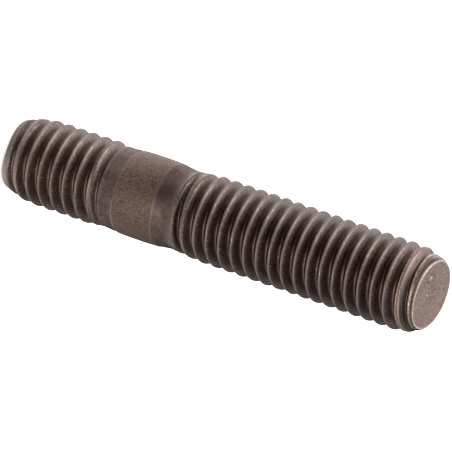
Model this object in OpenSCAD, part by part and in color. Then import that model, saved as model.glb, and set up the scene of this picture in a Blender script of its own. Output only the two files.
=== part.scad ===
// Double-ended stud, thread-rolled from one steel bar.
// It stands on the flat face of its short tap end, and the axis is +Z.
// From the bottom up: tap thread, rolled neck, plain band, convex shoulder
// and nut thread, with a pointed end and a flat face at both ends.
// Both threads are drawn at their full crest diameter.
// Lengths are in millimetres.

/* [Stud] */
// Overall length, from end face to end face
total_l = 41.3; // [38:0.1:60]
// Major diameter of both threads, over the crests
thread_d = 7.76; // [7.7:0.01:8]
// Pitch of both right-hand threads
pitch = 1.25; // [1:0.05:1.5]

/* [Pointed ends] */
// Diameter of the flat face at each end
face_d = 6.2; // [5.4:0.02:6.6]
// Length of the steep cone beside each end face
cone_l = 1.5; // [1:0.05:1.8]
// How far below the crests that cone ends, on the radius
cone_drop = 0.18; // [0.05:0.01:0.25]
// Length of the shallow lead from that cone up to the full crests
lead_l = 1.5; // [0.8:0.05:1.8]

/* [Tap end] */
// Length of the tap end, from its face to the end of the run-out
tap_l = 10; // [9:0.1:13]
// Length of the tap thread's run-out, in pitches
tap_runout = 0.7; // [0.4:0.1:1.2]

/* [Shank] */
// Diameter of the rolled neck where it leaves the tap thread
neck_d = 7.31; // [7:0.01:7.4]
// Growth of the neck's diameter on its way to the band
neck_flare = 0.06; // [0.02:0.01:0.12]
// Length of the neck
neck_l = 1.5; // [0.8:0.05:2.5]
// Diameter of the plain band
band_d = 7.61; // [7.53:0.01:7.69]
// Length of the plain band
band_l = 3.95; // [2.5:0.05:8]
// Length of the edge break at each end of the band
band_edge = 0.22; // [0.1:0.02:0.5]
// Length of the convex shoulder from the band to the nut thread
shoulder_l = 1.8; // [1:0.05:3]
// Diameter at the foot of the shoulder
shoulder_d = 7.15; // [6.9:0.01:7.4]

/* [Nut end] */
// Length of the nut thread's run-out, in pitches
nut_runout = 1.7; // [1:0.1:2.4]

/* [Hidden] */

steel = [0.25, 0.215, 0.195];

crest_r = thread_d / 2;
band_r = band_d / 2;

// Heights of the features above the bottom face
z_tap_full = tap_l - tap_runout * pitch;
z_neck_top = tap_l + neck_l;
z_band_top = z_neck_top + band_l;
z_foot = z_band_top + shoulder_l;
z_nut_full = z_foot + nut_runout * pitch;

// A pointed end as [radius, distance from the end face], face first
point_end = [
    [face_d / 2, 0],
    [crest_r - cone_drop, cone_l],
    [crest_r, cone_l + lead_l]
];

// Half of the stud's section below the neck
tap_side = [
    for (p = point_end) p,
    [crest_r, z_tap_full],
    [neck_d / 2, tap_l],
    [neck_d / 2 + neck_flare / 2, z_neck_top]
];

// The plain band with an edge break at both ends
band_side = [
    [band_r, z_neck_top + band_edge],
    [band_r, z_band_top - band_edge]
];

// The convex shoulder, a quarter of an ellipse in small steps
shoulder_steps = 6;
shoulder_top_r = band_r - 0.03;
shoulder_side = [
    for (i = [0 : shoulder_steps])
        let (a = 72 * i / shoulder_steps)
        [
            shoulder_d / 2 + (shoulder_top_r - shoulder_d / 2) * (cos(a) - cos(72)) / (1 - cos(72)),
            z_band_top + shoulder_l * sin(a) / sin(72)
        ]
];

// The nut thread, up to its own pointed end
nut_side = [
    [crest_r, z_nut_full],
    for (i = [len(point_end) - 1 : -1 : 0]) [point_end[i][0], total_l - point_end[i][1]]
];

module stud() {
    color(steel)
        rotate_extrude($fn = 128)
            polygon(concat([[0, 0]], tap_side, band_side, shoulder_side, nut_side, [[0, total_l]]));
}

stud();
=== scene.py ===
"""Double-ended stud: the looks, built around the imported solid.

The stud stands on its tap end, axis +Z, in metres. Lengths below are in thread
pitches of 1.25 mm until the mesh is written. Angles run around the axis: 0 faces
the camera's side (-Y), and a quarter turn further on is +X.
"""
import math

import bpy
import numpy as np
from mathutils import Matrix, Vector


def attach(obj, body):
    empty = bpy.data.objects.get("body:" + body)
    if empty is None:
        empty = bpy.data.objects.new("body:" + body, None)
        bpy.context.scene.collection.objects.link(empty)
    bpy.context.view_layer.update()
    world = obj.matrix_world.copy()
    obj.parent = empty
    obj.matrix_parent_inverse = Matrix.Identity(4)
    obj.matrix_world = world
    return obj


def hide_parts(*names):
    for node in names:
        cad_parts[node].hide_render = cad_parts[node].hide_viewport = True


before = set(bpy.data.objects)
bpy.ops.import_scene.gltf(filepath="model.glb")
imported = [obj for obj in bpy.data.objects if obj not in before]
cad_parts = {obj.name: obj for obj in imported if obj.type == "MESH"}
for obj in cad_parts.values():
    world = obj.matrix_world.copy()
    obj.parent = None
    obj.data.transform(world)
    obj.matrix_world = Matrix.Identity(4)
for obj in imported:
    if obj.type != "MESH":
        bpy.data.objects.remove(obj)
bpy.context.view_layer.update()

UNIT = 0.00125
TAU = 2.0 * math.pi
CREST_R = 3.09
DEPTH = 0.61
ROOT_R = CREST_R - DEPTH
LENGTH = 33.04
COLUMNS = 128

# Height of a thread crest at angle 0, for each end
TAP_CREST = 2.264
NUT_CREST = 14.887

# ---------------------------------------------------------------- the form


def ramp(a, b, x):
    t = np.clip((x - a) / (b - a), 0.0, 1.0)
    return t * t * (3.0 - 2.0 * t)


def soft_min(a, b, k):
    return 0.5 * (a + b - np.sqrt((a - b) ** 2 + k * k))


def bump(x, width):
    return np.exp(-((x / width) ** 2))


# Outer envelope of the stud, (height, radius): crests, neck, band, shoulder
ENVELOPE = [
    (-1.0, 2.1), (0.0, 2.475), (0.3, 2.605), (0.6, 2.715), (0.9, 2.825), (1.2, 2.91), (1.5, 2.985), (2.0, 3.045),
    (2.5, 3.075), (3.0, 3.09), (7.0, 3.09), (7.15, 3.075), (7.3, 3.03), (7.5, 2.945), (7.7, 2.922), (8.1, 2.918),
    (8.4, 2.915), (8.7, 2.942), (9.0, 2.962), (9.18, 2.972), (9.26, 3.005), (9.45, 3.02), (9.8, 3.036),
    (10.3, 3.042), (11.2, 3.044), (11.7, 3.036), (12.1, 3.012), (12.38, 2.998), (12.46, 2.978), (12.7, 2.946),
    (12.95, 2.902), (13.2, 2.866), (13.45, 2.85), (13.65, 2.853), (13.85, 2.872), (14.1, 2.90), (14.4, 2.935),
    (14.7, 2.965), (15.1, 3.005), (15.5, 3.055), (15.9, 3.09), (31.9, 3.09), (32.2, 2.93), (32.35, 2.84), (32.5, 2.73),
    (32.6, 2.685), (32.8, 2.62), (32.9, 2.57), (33.0, 2.515), (34.0, 2.06),
]
_tz = np.arange(-1.0, 34.0, 0.005)
_tr = np.interp(_tz, *np.array(ENVELOPE).T)
_k = np.exp(-0.5 * (np.arange(-30, 31) / 7.0) ** 2)
_tr = np.convolve(np.pad(_tr, 30, mode="edge"), _k / _k.sum(), mode="valid")


def envelope(z):
    return np.interp(z, _tz, _tr)


# Depth below the crest, by distance from the crest's centre: a 60 degree
# thread with a rounded crest and a round root, as rolling leaves it.
_tx = np.linspace(0.0, 0.5, 501)
_v = math.sqrt(3.0) * (_tx - 0.06)
_u = 0.8 * _tx * _tx
_c = 0.06
_d = 0.5 * (_u + _v + np.sqrt((_u - _v) ** 2 + _c * _c))
_d = _d - _d[0]
_e = 0.10
_d = 0.5 * (_d + DEPTH - np.sqrt((_d - DEPTH) ** 2 + _e * _e))
_d = (_d - _d[0]) / (_d[-1] - _d[0]) * DEPTH


def thread_depth(x):
    return np.interp(x, _tx, _d)


def waves(seed, count, low, high):
    """Smooth random unevenness on a line, as (frequency, phase, size) rows."""
    g = np.random.default_rng(seed)
    return np.stack([g.uniform(low, high, count), g.uniform(0, TAU, count), g.normal(0, 1, count)], 1)


def along(rows, x):
    out = np.zeros_like(x)
    for f, p, a in rows:
        out += a * np.sin(f * x + p)
    return out / math.sqrt(len(rows))


CREST_WAVE = waves(11, 14, 0.6, 9.0)
rng = np.random.default_rng(7)
NICKS = [(rng.uniform(-2 * TAU, 21 * TAU), rng.uniform(0.02, 0.05), rng.uniform(0.05, 0.13)) for _ in range(46)]

# Radius of the groove's root where it runs out, by turns along the helix
TAP_ROOT = [(4.6, ROOT_R), (4.83, 2.53), (5.0, 2.61), (5.17, 2.71), (5.3, 2.79), (5.5, 2.87), (5.8, 2.96)]
NUT_ROOT = [(-2.1, 3.0), (-1.9, 2.88), (-1.75, 2.80), (-1.5, 2.77), (-1.26, 2.75), (-1.12, 2.71),
            (-1.05, 2.63), (-0.98, 2.55), (-0.75, 2.51), (-0.5, ROOT_R), (16.4, ROOT_R), (16.75, 2.54), (17.0, 2.50), (17.6, 2.50)]
# Height of the nut thread's crest over its last turns, where it wasn't filled
NUT_TOP = [(15.5, 3.12), (16.25, 3.09), (16.5, 3.06), (16.75, 3.025), (17.0, 2.99), (17.25, 2.945), (17.5, 2.87),
           (17.75, 2.74), (18.0, 2.70), (18.3, 2.66)]


def thread(phi, z, crest, root):
    """Radius of one thread without its envelope, with the nearest crest's turn and the distance from it."""
    w = z - crest - phi / TAU
    g = np.floor(w)
    t = w - g
    x = np.minimum(t, 1.0 - t)
    turn = phi / TAU + g
    side = np.where(t < 0.5, turn - 1.0, turn + 1.0)
    turns, radii = np.array(root).T
    own, other = np.interp(turn, turns, radii), np.interp(side, turns, radii)
    mix = 0.5 + 0.5 * ramp(0.0, 0.12, x)
    lift = mix * own + (1.0 - mix) * other - ROOT_R
    d = thread_depth(x) - lift
    near = np.where(t < 0.5, turn, turn + 1.0)
    # the crest's own path along the helix, for its small unevenness and nicks
    top = bump(x, 0.16)
    d = d + top * 0.004 * along(CREST_WAVE, near * TAU)
    for at, size, wide in NICKS:
        d = d + top * size * bump(near * TAU - at, wide)
    return CREST_R + 0.006 - d, near, x


def seam(near, x, z):
    """The fold that rolling leaves along the last crests of the nut end."""
    deep = np.interp(near, [16.2, 16.75, 17.25, 17.75, 18.2], [0.0, 0.06, 0.075, 0.085, 0.09])
    return deep * bump(x, 0.07) * (1.0 - ramp(32.86, 32.98, z))


def band_shift(phi, z):
    """How far the uneven edges of the plain band lie along the axis."""
    shift = bump(z - 9.22, 0.5) * (0.02 * np.sin(2 * phi + 0.4) + 0.015 * np.sin(5 * phi + 2.0))
    shift += bump(z - 12.42, 0.5) * (0.04 * np.sin(phi + 1.1) + 0.02 * np.sin(3 * phi + 0.6) + 0.012 * np.sin(8 * phi))
    return shift


def radius(phi, z):
    env = envelope(z)
    a = np.round(phi / TAU * 3600) / 3600 * TAU
    shift = band_shift(a, z)
    env = np.where((z > 8.3) & (z < 13.2), envelope(z - shift), env)
    # burrs raised along both edges of the band
    lip = 0.010 * bump(z - shift - 9.30, 0.05) * (0.6 + 0.4 * np.sin(3 * a + 1.0))
    lip += (0.012 * (0.6 + 0.4 * np.sin(4 * a + 0.3)) + 0.02 * bump(a - 0.23, 0.13)) * bump(z - shift - 12.40, 0.05)
    env = env + lip
    r1, n1, x1 = thread(phi, z, TAP_CREST, TAP_ROOT)
    r2, n2, x2 = thread(phi, z, NUT_CREST, NUT_ROOT)
    turns, tops = np.array(NUT_TOP).T
    r2 = soft_min(r2, np.interp(n2, turns, tops), 0.03) - seam(n2, x2, z)
    r = np.where(z < 10.5, soft_min(r1, env + 0.012, 0.03), soft_min(r2, env + 0.012, 0.03))
    plain = (z > 8.9) & (z < 12.9)
    return np.where(plain, soft_min(np.full_like(z, 3.3), env + 0.0008, 0.03), r)


# ---------------------------------------------------------------- the mesh

verts, quads, tris = [], [], []


def add(points):
    start = sum(len(v) for v in verts)
    verts.append(np.asarray(points, float).reshape(-1, 3))
    return np.arange(start, start + len(verts[-1]))


PHI = -math.pi + TAU * np.arange(COLUMNS) / COLUMNS


def place(phi, z, r):
    return np.stack([r * np.sin(phi), -r * np.cos(phi), z], -1)


def ring(z, r=None):
    z = np.full(COLUMNS, float(z))
    rr = radius(PHI, z)
    if r is not None:
        rr = np.minimum(rr, r)
    return add(place(PHI, z, rr))


def join(low, high):
    nxt = np.roll(np.arange(COLUMNS), -1)
    quads.append(np.stack([low, low[nxt], high[nxt], high], 1))


def helical(za, zb, crest):
    """A band of rows that follow the thread, cut level at both ends."""
    half = np.array([0.0, 0.03, 0.06, 0.09, 0.13, 0.21, 0.31, 0.37, 0.42, 0.46])
    one = np.concatenate([half, [0.5], 1.0 - half[:0:-1]])
    n = len(one)
    base = crest - 0.5  # the crest's height at the first column
    k0 = math.floor(za - base) - 2
    k1 = math.ceil(zb - base) + 2
    s = np.concatenate([base + k + one for k in range(k0, k1)])
    gap = np.minimum(np.diff(s, prepend=s[0] - 0.04), np.diff(s, append=s[-1] + 0.04))
    z = s[None, :] + np.arange(COLUMNS)[:, None] / COLUMNS
    keep = (z > za + 0.45 * gap) & (z < zb - 0.45 * gap)
    index = -np.ones((COLUMNS + 1, len(s)), int)
    ii, jj = np.nonzero(keep)
    zz = z[ii, jj]
    index[ii, jj] = add(place(PHI[ii], zz, radius(PHI[ii], zz)))
    index[COLUMNS, :-n] = index[0, n:]
    low, high = ring(za), ring(zb)
    for i in range(COLUMNS):
        a, b = index[i], index[i + 1]
        both = np.nonzero((a >= 0) & (b >= 0))[0]
        j0, j1 = both[0], both[-1]
        quads.append(np.stack([a[j0:j1], b[j0:j1], b[j0 + 1:j1 + 1], a[j0 + 1:j1 + 1]], 1))
        l0, l1 = low[i], low[(i + 1) % COLUMNS]
        h0, h1 = high[i], high[(i + 1) % COLUMNS]
        if j0 > 0 and b[j0 - 1] >= 0:
            tris.append([[l0, b[j0 - 1], a[j0]], [b[j0 - 1], b[j0], a[j0]], [l0, l1, b[j0 - 1]]])
        elif j0 > 0 and a[j0 - 1] >= 0:
            tris.append([[l0, l1, a[j0 - 1]], [l1, b[j0], a[j0 - 1]], [a[j0 - 1], b[j0], a[j0]]])
        else:
            quads.append(np.array([[l0, l1, b[j0], a[j0]]]))
        if a[j1 + 1] >= 0:
            tris.append([[a[j1], b[j1], a[j1 + 1]], [b[j1], h1, a[j1 + 1]], [a[j1 + 1], h1, h0]])
        elif b[j1 + 1] >= 0:
            tris.append([[a[j1], b[j1], b[j1 + 1]], [a[j1], b[j1 + 1], h0], [b[j1 + 1], h1, h0]])
        else:
            quads.append(np.array([[a[j1], b[j1], h1, h0]]))
    return low, high


DENTS = [(1.02, -1.12, 0.30, 0.20, 0.6, 0.055), (1.30, -0.62, 0.16, 0.12, 2.1, 0.05), (0.55, 0.10, 0.17, 0.12, 1.2, 0.05),
         (0.86, 0.34, 0.12, 0.10, 0.2, 0.04), (-0.9, 0.7, 0.2, 0.1, 0.9, 0.018), (-0.4, -1.3, 0.14, 0.1, 0.2, 0.015)]
FACE_WAVE = [(g[0], g[1], g[2]) for g in waves(5, 9, 0.8, 5.0)]


def face_relief(x, y):
    """Small unevenness of a cropped end, with a few shallow dimples."""
    z = np.zeros_like(x)
    for i, (f, p, a) in enumerate(FACE_WAVE):
        t = i * 2.4
        z += 0.003 * a * np.sin(f * (x * math.cos(t) + y * math.sin(t)) + p)
    for cx, cy, la, lb, t, d in DENTS:
        u = (x - cx) * math.cos(t) + (y - cy) * math.sin(t)
        v = -(x - cx) * math.sin(t) + (y - cy) * math.cos(t)
        q = (u / la) ** 2 + (v / lb) ** 2
        z += -d * np.exp(-q ** 1.5) + 0.35 * d * np.exp(-((np.sqrt(q) - 1.35) / 0.3) ** 2)
    return z


def cap(edge, level, corner, up, step, relief):
    """Cone edge, rounded rim and end face, from the last level ring inwards."""
    fillet, cone = 0.085, math.radians(24.0)
    t = fillet * math.tan((math.pi / 2 - cone) / 2)
    last = edge
    drop = t * math.cos(cone)
    rings = [(drop, corner + drop * math.tan(cone))]
    steps = 6
    rc, zc = corner - t, fillet
    for i in range(1, steps):
        a = cone + (math.pi / 2 - cone) * i / steps
        rings.append((zc - fillet * math.sin(a), rc + fillet * math.cos(a)))
    inner = rc - np.arange(0, int(rc / step)) * step
    for d, r in rings:
        now = ring(level - up * d, r)
        join(last, now) if up > 0 else join(now, last)
        last = now
    for r in inner:
        fade = ramp(0.0, 0.14, rc - r)
        x, y = r * np.cos(PHI), r * np.sin(PHI)
        z = level + (relief(x, y) * fade if relief is not None else 0.0)
        now = add(place(PHI, np.broadcast_to(z, PHI.shape), np.full(COLUMNS, r)))
        join(last, now) if up > 0 else join(now, last)
        last = now
    mid = add([[0, 0, level + (float(relief(np.zeros(1), np.zeros(1))[0]) if relief is not None else 0.0)]])[0]
    nxt = np.roll(last, -1)
    fan = np.stack([last, nxt, np.full(COLUMNS, mid)], 1)
    tris.append(fan if up > 0 else fan[:, ::-1])


tap_low, tap_high = helical(0.10, 8.45, TAP_CREST)
nut_low, nut_high = helical(12.95, LENGTH - 0.10, NUT_CREST)
levels = np.concatenate([np.arange(8.53, 9.1, 0.08), np.arange(9.12, 9.42, 0.028), np.arange(9.47, 12.25, 0.1),
                         np.arange(12.28, 12.58, 0.028), np.arange(12.64, 12.92, 0.07)])
last = tap_high
for z in levels:
    now = ring(z)
    join(last, now)
    last = now
join(last, nut_low)
cap(nut_high, LENGTH, 2.495, 1.0, 0.055, face_relief)
cap(tap_low, 0.0, 2.465, -1.0, 0.16, None)

co = np.concatenate(verts)
rad = np.hypot(co[:, 0], co[:, 1])
ang = np.arctan2(co[:, 0], -co[:, 1])
zz = co[:, 2].copy()
# the nut end was cropped a little out of square, the tap end has an uneven rim, and the blank is bowed a little
co[:, 2] += (0.03 * co[:, 1] - 0.028 * co[:, 0] + 0.02) * ramp(32.62, 33.04, zz)
co[:, 2] += 0.07 * np.cos(3 * ang + 0.2) * (rad / 2.465) ** 2 * (1 - ramp(0.0, 1.3, zz))
co[:, 0] += 0.035 * (np.maximum(17.0 - zz, 0.0) / 16.0) ** 2
faces4 = np.concatenate(quads)
faces3 = np.concatenate([np.asarray(t).reshape(-1, 3) for t in tris])
mesh = bpy.data.meshes.new("threaded_stud")
mesh.from_pydata((co * UNIT).tolist(), [], faces4.tolist() + faces3.tolist())
mesh.validate()
mesh.update()
mesh.shade_smooth()

# masks that the finish reads: height on the thread, plain band, plain neck and shoulder, end faces
height = np.clip((rad - ROOT_R) / DEPTH, 0, 1)
cone = np.clip((rad - envelope(zz) + 0.45) / 0.5, 0, 1) * (1 - ramp(1.6, 2.4, zz))
height = np.maximum(height, cone)
zb = zz - band_shift(ang, zz)
band = ramp(9.20, 9.29, zb) * (1 - ramp(12.38, 12.47, zb))
plain = ramp(7.95, 8.2, zz) * (1 - ramp(13.5, 14.0, zz)) * (1 - band)
ends = ramp(LENGTH - 0.06, LENGTH - 0.005, zz) + (1 - ramp(0.01, 0.06, zz))
# painted shade over the shallow dip on the shoulder
painted_dip_shade = 0.75 * bump(ang + 0.30, 0.30) * bump(zz - 13.3, 0.42)
# painted highlights: light lines along both edges of the band, its burr, the neck's and the shoulder's outer edges,
# and the rim of the nut end
uneven = 0.7 + 0.3 * np.sin(5 * ang + 0.8) * np.sin(11 * ang + 2.0)
edge = (0.28 + 0.35 * bump(ang + 1.1, 0.4)) * uneven * bump(zb - 9.27, 0.05)
edge += (0.24 * uneven + 0.75 * bump(ang - 0.23, 0.15)) * bump(zb - 12.41, 0.06)
edge += 0.35 * bump(zz - 8.16, 0.05) + 0.30 * uneven * bump(zz - 14.06 - ang / TAU, 0.06) * (np.abs(ang) < 1.6)
edge += 0.7 * ramp(LENGTH - 0.085, LENGTH - 0.05, zz) * ramp(2.36, 2.42, rad)
# painted highlight on the last turns at the nut end, which are also made smoother
_, turn, off = thread(ang, zz, NUT_CREST, NUT_ROOT)
painted_highlight = ramp(16.5, 16.95, turn) * (zz > 20) * (1 - ends) * (1 - 0.8 * bump(off, 0.06))
painted_highlight *= ramp(0.13, 0.04, np.interp(turn, *np.array(NUT_TOP).T) - rad)
# painted shade in the last groove before the nut end, and in the first one after the shoulder, heavier on one side
path = zz - NUT_CREST - ang / TAU
painted_groove_shade = ramp(17.14, 17.28, path) * (1 - ramp(17.60, 17.70, path)) * ramp(2.96, 2.84, rad)
painted_groove_shade *= 0.28 + 0.52 * ramp(-0.6, 0.0, ang)
painted_groove_shade = np.maximum(painted_groove_shade, 0.8 * ramp(13.9, 14.1, zz) * (1 - ramp(0.0, 0.25, path)) * ramp(2.86, 2.74, rad) * ramp(-1.1, -0.4, ang))
# painted shade low on the flanks along the nut thread
painted_flank_shade = (zz > 15) * ramp(0.6, 1.6, path) * (1 - ramp(15.6, 16.6, path))
painted_groove_shade = np.maximum(painted_groove_shade, painted_flank_shade * (0.06 + 0.32 * (1 - ramp(0.70, 0.92, height))))
for name, value in (("height", height), ("band", band), ("plain", plain), ("ends", ends), ("painted_dip_shade", painted_dip_shade), ("edge", edge),
                    ("painted_highlight", painted_highlight), ("painted_groove_shade", painted_groove_shade)):
    layer = mesh.attributes.new(name, "FLOAT", "POINT")
    layer.data.foreach_set("value", value.astype(np.float32))

stud = bpy.data.objects.new("threaded_stud", mesh)
bpy.context.scene.collection.objects.link(stud)

# ---------------------------------------------------------------- the finish


def nodes_of(material):
    material.use_nodes = True
    tree = material.node_tree
    tree.nodes.clear()
    return tree


class Graph:
    def __init__(self, tree):
        self.tree = tree

    def new(self, kind, **sets):
        n = self.tree.nodes.new(kind)
        for k, v in sets.items():
            setattr(n, k, v)
        return n

    def link(self, a, b):
        self.tree.links.new(a, b)

    def feed(self, socket, value):
        if hasattr(value, "node"):
            self.link(value, socket)
        else:
            socket.default_value = value

    def math(self, op, a, b=0.0, c=None, clamp=False):
        n = self.new("ShaderNodeMath", operation=op, use_clamp=clamp)
        self.feed(n.inputs[0], a)
        self.feed(n.inputs[1], b)
        if c is not None:
            self.feed(n.inputs[2], c)
        return n.outputs[0]

    def remap(self, x, a, b, c, d, smooth=True):
        n = self.new("ShaderNodeMapRange", interpolation_type="SMOOTHSTEP" if smooth else "LINEAR")
        self.feed(n.inputs["Value"], x)
        for key, v in (("From Min", a), ("From Max", b), ("To Min", c), ("To Max", d)):
            n.inputs[key].default_value = v
        return n.outputs["Result"]

    def mix(self, f, a, b):
        n = self.new("ShaderNodeMix", data_type="RGBA")
        self.feed(n.inputs[0], f)
        self.feed(n.inputs[6], a)
        self.feed(n.inputs[7], b)
        return n.outputs[2]

    def noise(self, vector, scale, detail=3.0, rough=0.55, warp=0.0):
        n = self.new("ShaderNodeTexNoise")
        self.link(vector, n.inputs["Vector"])
        n.inputs["Scale"].default_value = scale
        n.inputs["Detail"].default_value = detail
        n.inputs["Roughness"].default_value = rough
        n.inputs["Distortion"].default_value = warp
        return n.outputs["Fac"]

    def mapped(self, vector, scale, offset=(0, 0, 0)):
        n = self.new("ShaderNodeMapping")
        self.link(vector, n.inputs["Vector"])
        n.inputs["Scale"].default_value = scale
        n.inputs["Location"].default_value = offset
        return n.outputs["Vector"]

    def attribute(self, name):
        n = self.new("ShaderNodeAttribute", attribute_name=name)
        return n.outputs["Fac"]


steel = bpy.data.materials.new("phosphated_steel")
g = Graph(nodes_of(steel))
out = g.new("ShaderNodeOutputMaterial")
bsdf = g.new("ShaderNodeBsdfPrincipled")
g.link(bsdf.outputs[0], out.inputs["Surface"])
where = g.new("ShaderNodeTexCoord").outputs["Object"]
mm = g.mapped(where, (800, 800, 800))
axial = g.mapped(where, (800, 800, 300), (3, 1, 7))
round_ = g.mapped(where, (128, 128, 2080), (1, 5, 2))

height_a, band_a = g.attribute("height"), g.attribute("band")
plain_a, ends_a, painted_dip_shade_a, painted_edge_highlight_a = (g.attribute(n) for n in ("plain", "ends", "painted_dip_shade", "edge"))
painted_highlight_a, painted_groove_shade_a = g.attribute("painted_highlight"), g.attribute("painted_groove_shade")
mottle = g.noise(mm, 0.55, 4.0, 0.6, 0.4)
blotch = g.noise(mm, 1.6, 3.0, 0.6)
grain = g.noise(mm, 7.0, 3.0, 0.65)
fine = g.noise(mm, 20.0, 2.0, 0.6)
streak = g.noise(axial, 13.0, 3.0, 0.6)
lines = g.noise(round_, 6.0, 2.0, 0.6)
thread_a = g.math("SUBTRACT", 1.0, g.math("MAXIMUM", plain_a, band_a), clamp=True)

# thread: painted shade darkening the groove roots, worn brighter over the crests
flank = g.mix(g.remap(g.math("ADD", g.math("MULTIPLY", mottle, 0.5), g.math("MULTIPLY", blotch, 0.5)), 0.38, 0.62, 0, 1), (0.222, 0.153, 0.133, 1), (0.314, 0.218, 0.191, 1))
flank = g.mix(g.remap(grain, 0.40, 0.62, 0, 0.75), flank, (0.140, 0.095, 0.082, 1))
# painted shade: the groove roots are made darker
root = g.remap(height_a, 0.42, 0.05, 0, 1)
colour = g.mix(root, flank, (0.194, 0.131, 0.113, 1))
worn = g.remap(g.math("ADD", g.math("MULTIPLY", grain, 0.6), g.math("MULTIPLY", fine, 0.4)), 0.36, 0.62, 0.2, 1.25)
crest = g.math("MULTIPLY", g.remap(height_a, 0.80, 0.94, 0, 1), worn)
crest = g.math("MULTIPLY", crest, thread_a, clamp=True)
colour = g.mix(crest, colour, (0.348, 0.260, 0.227, 1))
# painted highlight: a bright colour over the last turns at the nut end
painted_highlight = g.math("MULTIPLY", painted_highlight_a, g.remap(grain, 0.38, 0.60, 0.3, 1.0), clamp=True)
colour = g.mix(painted_highlight, colour, (0.890, 0.630, 0.515, 1))
# painted shade: a dark colour in the grooves and low on the nut thread's flanks
colour = g.mix(g.math("MULTIPLY", painted_groove_shade_a, 0.85), colour, (0.070, 0.046, 0.038, 1))
# painted glints: small light flecks on the crests
painted_glint = g.remap(g.noise(mm, 5.0, 1.0, 0.5), 0.64, 0.74, 0, 0.8)
painted_glint = g.math("MULTIPLY", painted_glint, g.remap(height_a, 0.62, 0.85, 0.25, 1.0))
colour = g.mix(g.math("MULTIPLY", painted_glint, thread_a), colour, (0.560, 0.450, 0.390, 1))
# band: a fine grain along the axis
speck = g.math("ADD", g.math("MULTIPLY", streak, 0.7), g.math("MULTIPLY", grain, 0.3))
band_colour = g.mix(g.remap(speck, 0.38, 0.62, 0, 1), (0.180, 0.123, 0.102, 1), (0.353, 0.245, 0.203, 1))
band_colour = g.mix(g.remap(blotch, 0.50, 0.72, 0, 0.35), band_colour, (0.216, 0.146, 0.122, 1))
colour = g.mix(band_a, colour, band_colour)
# neck and shoulder: smoother, a little purple
plain_mark = g.math("ADD", g.math("MULTIPLY", blotch, 0.5), g.math("MULTIPLY", grain, 0.5))
plain_colour = g.mix(g.remap(plain_mark, 0.38, 0.62, 0, 1), (0.155, 0.108, 0.098, 1), (0.270, 0.189, 0.170, 1))
# painted shade: a darker patch over the shoulder's shallow dip
plain_colour = g.mix(painted_dip_shade_a, plain_colour, (0.144, 0.103, 0.096, 1))
colour = g.mix(plain_a, colour, plain_colour)
end_colour = g.mix(g.remap(grain, 0.35, 0.62, 0, 1), (0.053, 0.036, 0.030, 1), (0.201, 0.136, 0.115, 1))
colour = g.mix(ends_a, colour, end_colour)
# painted highlights: light lines along the edges and around the nut end's rim
colour = g.mix(g.math("MULTIPLY", painted_edge_highlight_a, g.remap(grain, 0.36, 0.60, 0.5, 1.0), clamp=True), colour, (0.620, 0.495, 0.440, 1))
g.link(colour, bsdf.inputs["Base Color"])
bsdf.inputs["Metallic"].default_value = 1.0
g.link(g.mix(g.math("MAXIMUM", band_a, ends_a), (0.65, 0.63, 0.62, 1), (1, 1, 1, 1)), bsdf.inputs["Specular Tint"])

rough = g.remap(mottle, 0.3, 0.7, 0.48, 0.54)
rough = g.math("ADD", rough, g.remap(grain, 0.3, 0.7, -0.07, 0.07))
rough = g.math("ADD", rough, g.math("MULTIPLY", root, -0.10))
rough = g.math("ADD", rough, g.math("MULTIPLY", crest, -0.08))
rough = g.math("ADD", rough, g.math("MULTIPLY", painted_highlight, -0.15))
rough = g.math("ADD", rough, g.math("MULTIPLY", band_a, -0.04))
g.link(rough, bsdf.inputs["Roughness"])
# a thin film of oil on the rolled surfaces
film = g.math("ADD", g.math("MULTIPLY", plain_a, 0.3), thread_a)
film = g.math("MULTIPLY", film, g.math("SUBTRACT", 1.0, ends_a, clamp=True), clamp=True)
g.link(film, bsdf.inputs["Coat Weight"])
bsdf.inputs["Coat Roughness"].default_value = 0.12
bsdf.inputs["Coat IOR"].default_value = 1.45

relief = g.math("MULTIPLY", grain, 0.45)
relief = g.math("ADD", relief, g.math("MULTIPLY", fine, 0.3))
relief = g.math("ADD", relief, g.math("MULTIPLY", g.math("MULTIPLY", streak, band_a), 0.6))
relief = g.math("ADD", relief, g.math("MULTIPLY", lines, 0.15))
bump_node = g.new("ShaderNodeBump")
bump_node.inputs["Strength"].default_value = 1.0
bump_node.inputs["Distance"].default_value = 0.00005
g.link(relief, bump_node.inputs["Height"])
g.link(bump_node.outputs["Normal"], bsdf.inputs["Normal"])
g.link(bump_node.outputs["Normal"], bsdf.inputs["Coat Normal"])
mesh.materials.append(steel)

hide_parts("stud")
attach(stud, "root")

# ---------------------------------------------------------------- the set

floor_mesh = bpy.data.meshes.new("floor")
a, low = 3.0, -0.0001
floor_mesh.from_pydata([(-a, -a, low), (a, -a, low), (a, a, low), (-a, a, low)], [], [(0, 1, 2, 3)])
floor = bpy.data.objects.new("floor", floor_mesh)
bpy.context.scene.collection.objects.link(floor)
pale = bpy.data.materials.new("pale_floor")
f = Graph(nodes_of(pale))
f_out = f.new("ShaderNodeOutputMaterial")
f_bsdf = f.new("ShaderNodeBsdfPrincipled")
f_bsdf.inputs["Base Color"].default_value = (0.9, 0.9, 0.9, 1)
f_bsdf.inputs["Roughness"].default_value = 0.9
f_bsdf.inputs["Specular IOR Level"].default_value = 0.0
f_bsdf.inputs["Emission Color"].default_value = (1, 1, 1, 1)
f_bsdf.inputs["Emission Strength"].default_value = 0.75
f.link(f_bsdf.outputs[0], f_out.inputs["Surface"])
floor_mesh.materials.append(pale)
floor.visible_diffuse = False
floor.visible_glossy = False

scene = bpy.context.scene
scene.view_settings.view_transform = "Standard"
# the deep blacks of the picture's levels
scene.view_settings.use_curve_mapping = True
scene.view_settings.curve_mapping.black_level = (0.006, 0.006, 0.006)
scene.view_settings.curve_mapping.update()

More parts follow.
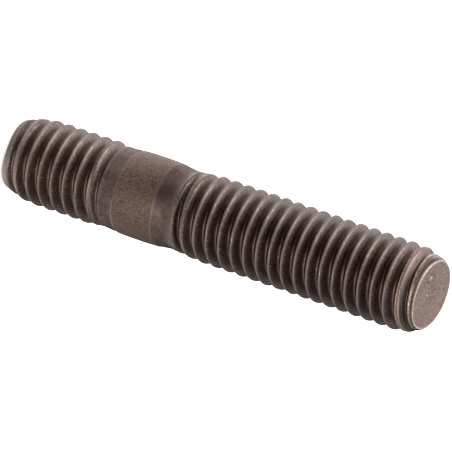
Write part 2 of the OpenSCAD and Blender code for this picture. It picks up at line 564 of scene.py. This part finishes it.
world = bpy.data.worlds.new("soft_tent")
scene.world = world
world.use_nodes = True
w = Graph(world.node_tree)
world.node_tree.nodes.clear()
w_out = w.new("ShaderNodeOutputWorld")
sky = w.new("ShaderNodeBackground")
w.link(sky.outputs[0], w_out.inputs["Surface"])
direction = w.new("ShaderNodeTexCoord").outputs["Generated"]


def panel(x, y, z, strength, tight=25.0):
    """A soft patch of light around one direction."""
    n = w.new("ShaderNodeVectorMath", operation="DOT_PRODUCT")
    w.link(direction, n.inputs[0])
    n.inputs[1].default_value = Vector((x, y, z)).normalized()
    fall = w.math("EXPONENT", w.math("MULTIPLY", w.math("SUBTRACT", n.outputs["Value"], 1.0), tight))
    return w.math("MULTIPLY", fall, strength)


# a light tent: bright above, behind and towards the nut end, weaker in front and below
PANELS = [
    (0.05, -0.13, 0.99, 0.98), (0.30, 0.09, 0.95, 0.38), (-0.08, 0.41, 0.91, 3.15), (-0.49, -0.05, 0.87, 1.43),
    (-0.50, -0.40, 0.77, 1.88), (0.10, 0.65, 0.75, 1.92), (-0.68, 0.17, 0.71, 4.72), (-0.30, 0.70, 0.65, 2.43),
    (-0.05, 0.87, 0.49, 1.69), (0.91, -0.19, 0.37, 0.62), (0.42, -0.85, 0.31, 0.63), (0.83, -0.51, 0.21, 0.45),
    (0.59, 0.79, 0.17, 0.27), (0.10, -0.98, 0.15, 0.77), (0.99, 0.02, 0.11, 0.77), (0.62, -0.78, 0.05, 0.80),
    (0.84, 0.55, 0.01, 0.49), (-0.47, 0.88, -0.03, 1.02), (-0.97, -0.06, -0.23, 1.02), (-0.62, 0.73, -0.29, 1.27),
    (-0.67, 0.50, -0.55, 1.56), (0.82, 0.08, -0.57, 0.41), (-0.54, -0.60, -0.59, 0.36), (-0.76, 0.06, -0.65, 0.94),
    (0.58, 0.46, -0.67, 0.99), (-0.12, -0.71, -0.69, 0.54), (0.66, -0.17, -0.73, 1.05), (-0.58, -0.31, -0.75, 1.36),
    (0.24, -0.56, -0.79, 0.94), (0.23, 0.28, -0.93, 2.12), (0.38, -0.92, 0.04, 2.60, 160), (0.53, -0.84, 0.03, 4.80, 120), (0.66, -0.75, 0.03, 2.30, 120),
]
light = 0.000
for row in PANELS:
    light = w.math("ADD", panel(*row), light)
w.link(light, sky.inputs["Strength"])
sky.inputs["Color"].default_value = (1, 1, 1, 1)

camera_data = bpy.data.cameras.new("camera")
camera = bpy.data.objects.new("camera", camera_data)
scene.collection.objects.link(camera)
camera_data.sensor_fit = "HORIZONTAL"
camera_data.sensor_width = 36.0
camera_data.lens = 36.0 * 5765.48 / 452.0
camera_data.clip_start, camera_data.clip_end = 0.01, 100.0
tilt, roll = 0.4372, 1.9032
ahead = Vector((0.0003, math.cos(tilt), -math.sin(tilt))).normalized()
side = ahead.cross(Vector((0, 0, 1))).normalized()
over = side.cross(ahead)
right = math.cos(roll) * side + math.sin(roll) * over
up = -math.sin(roll) * side + math.cos(roll) * over
# a little off the axis of the fit, by parts of a pixel
ahead = (ahead - right * (0.7 / 5765.48) + up * (0.15 / 5765.48)).normalized()
right = (right - ahead * right.dot(ahead)).normalized()
up = right.cross(ahead)
eye = Vector((0.0, -360.306, 185.293)) * UNIT
m = Matrix((right, up, -ahead)).transposed().to_4x4()
m.translation = eye
camera.matrix_world = m
scene.camera = camera
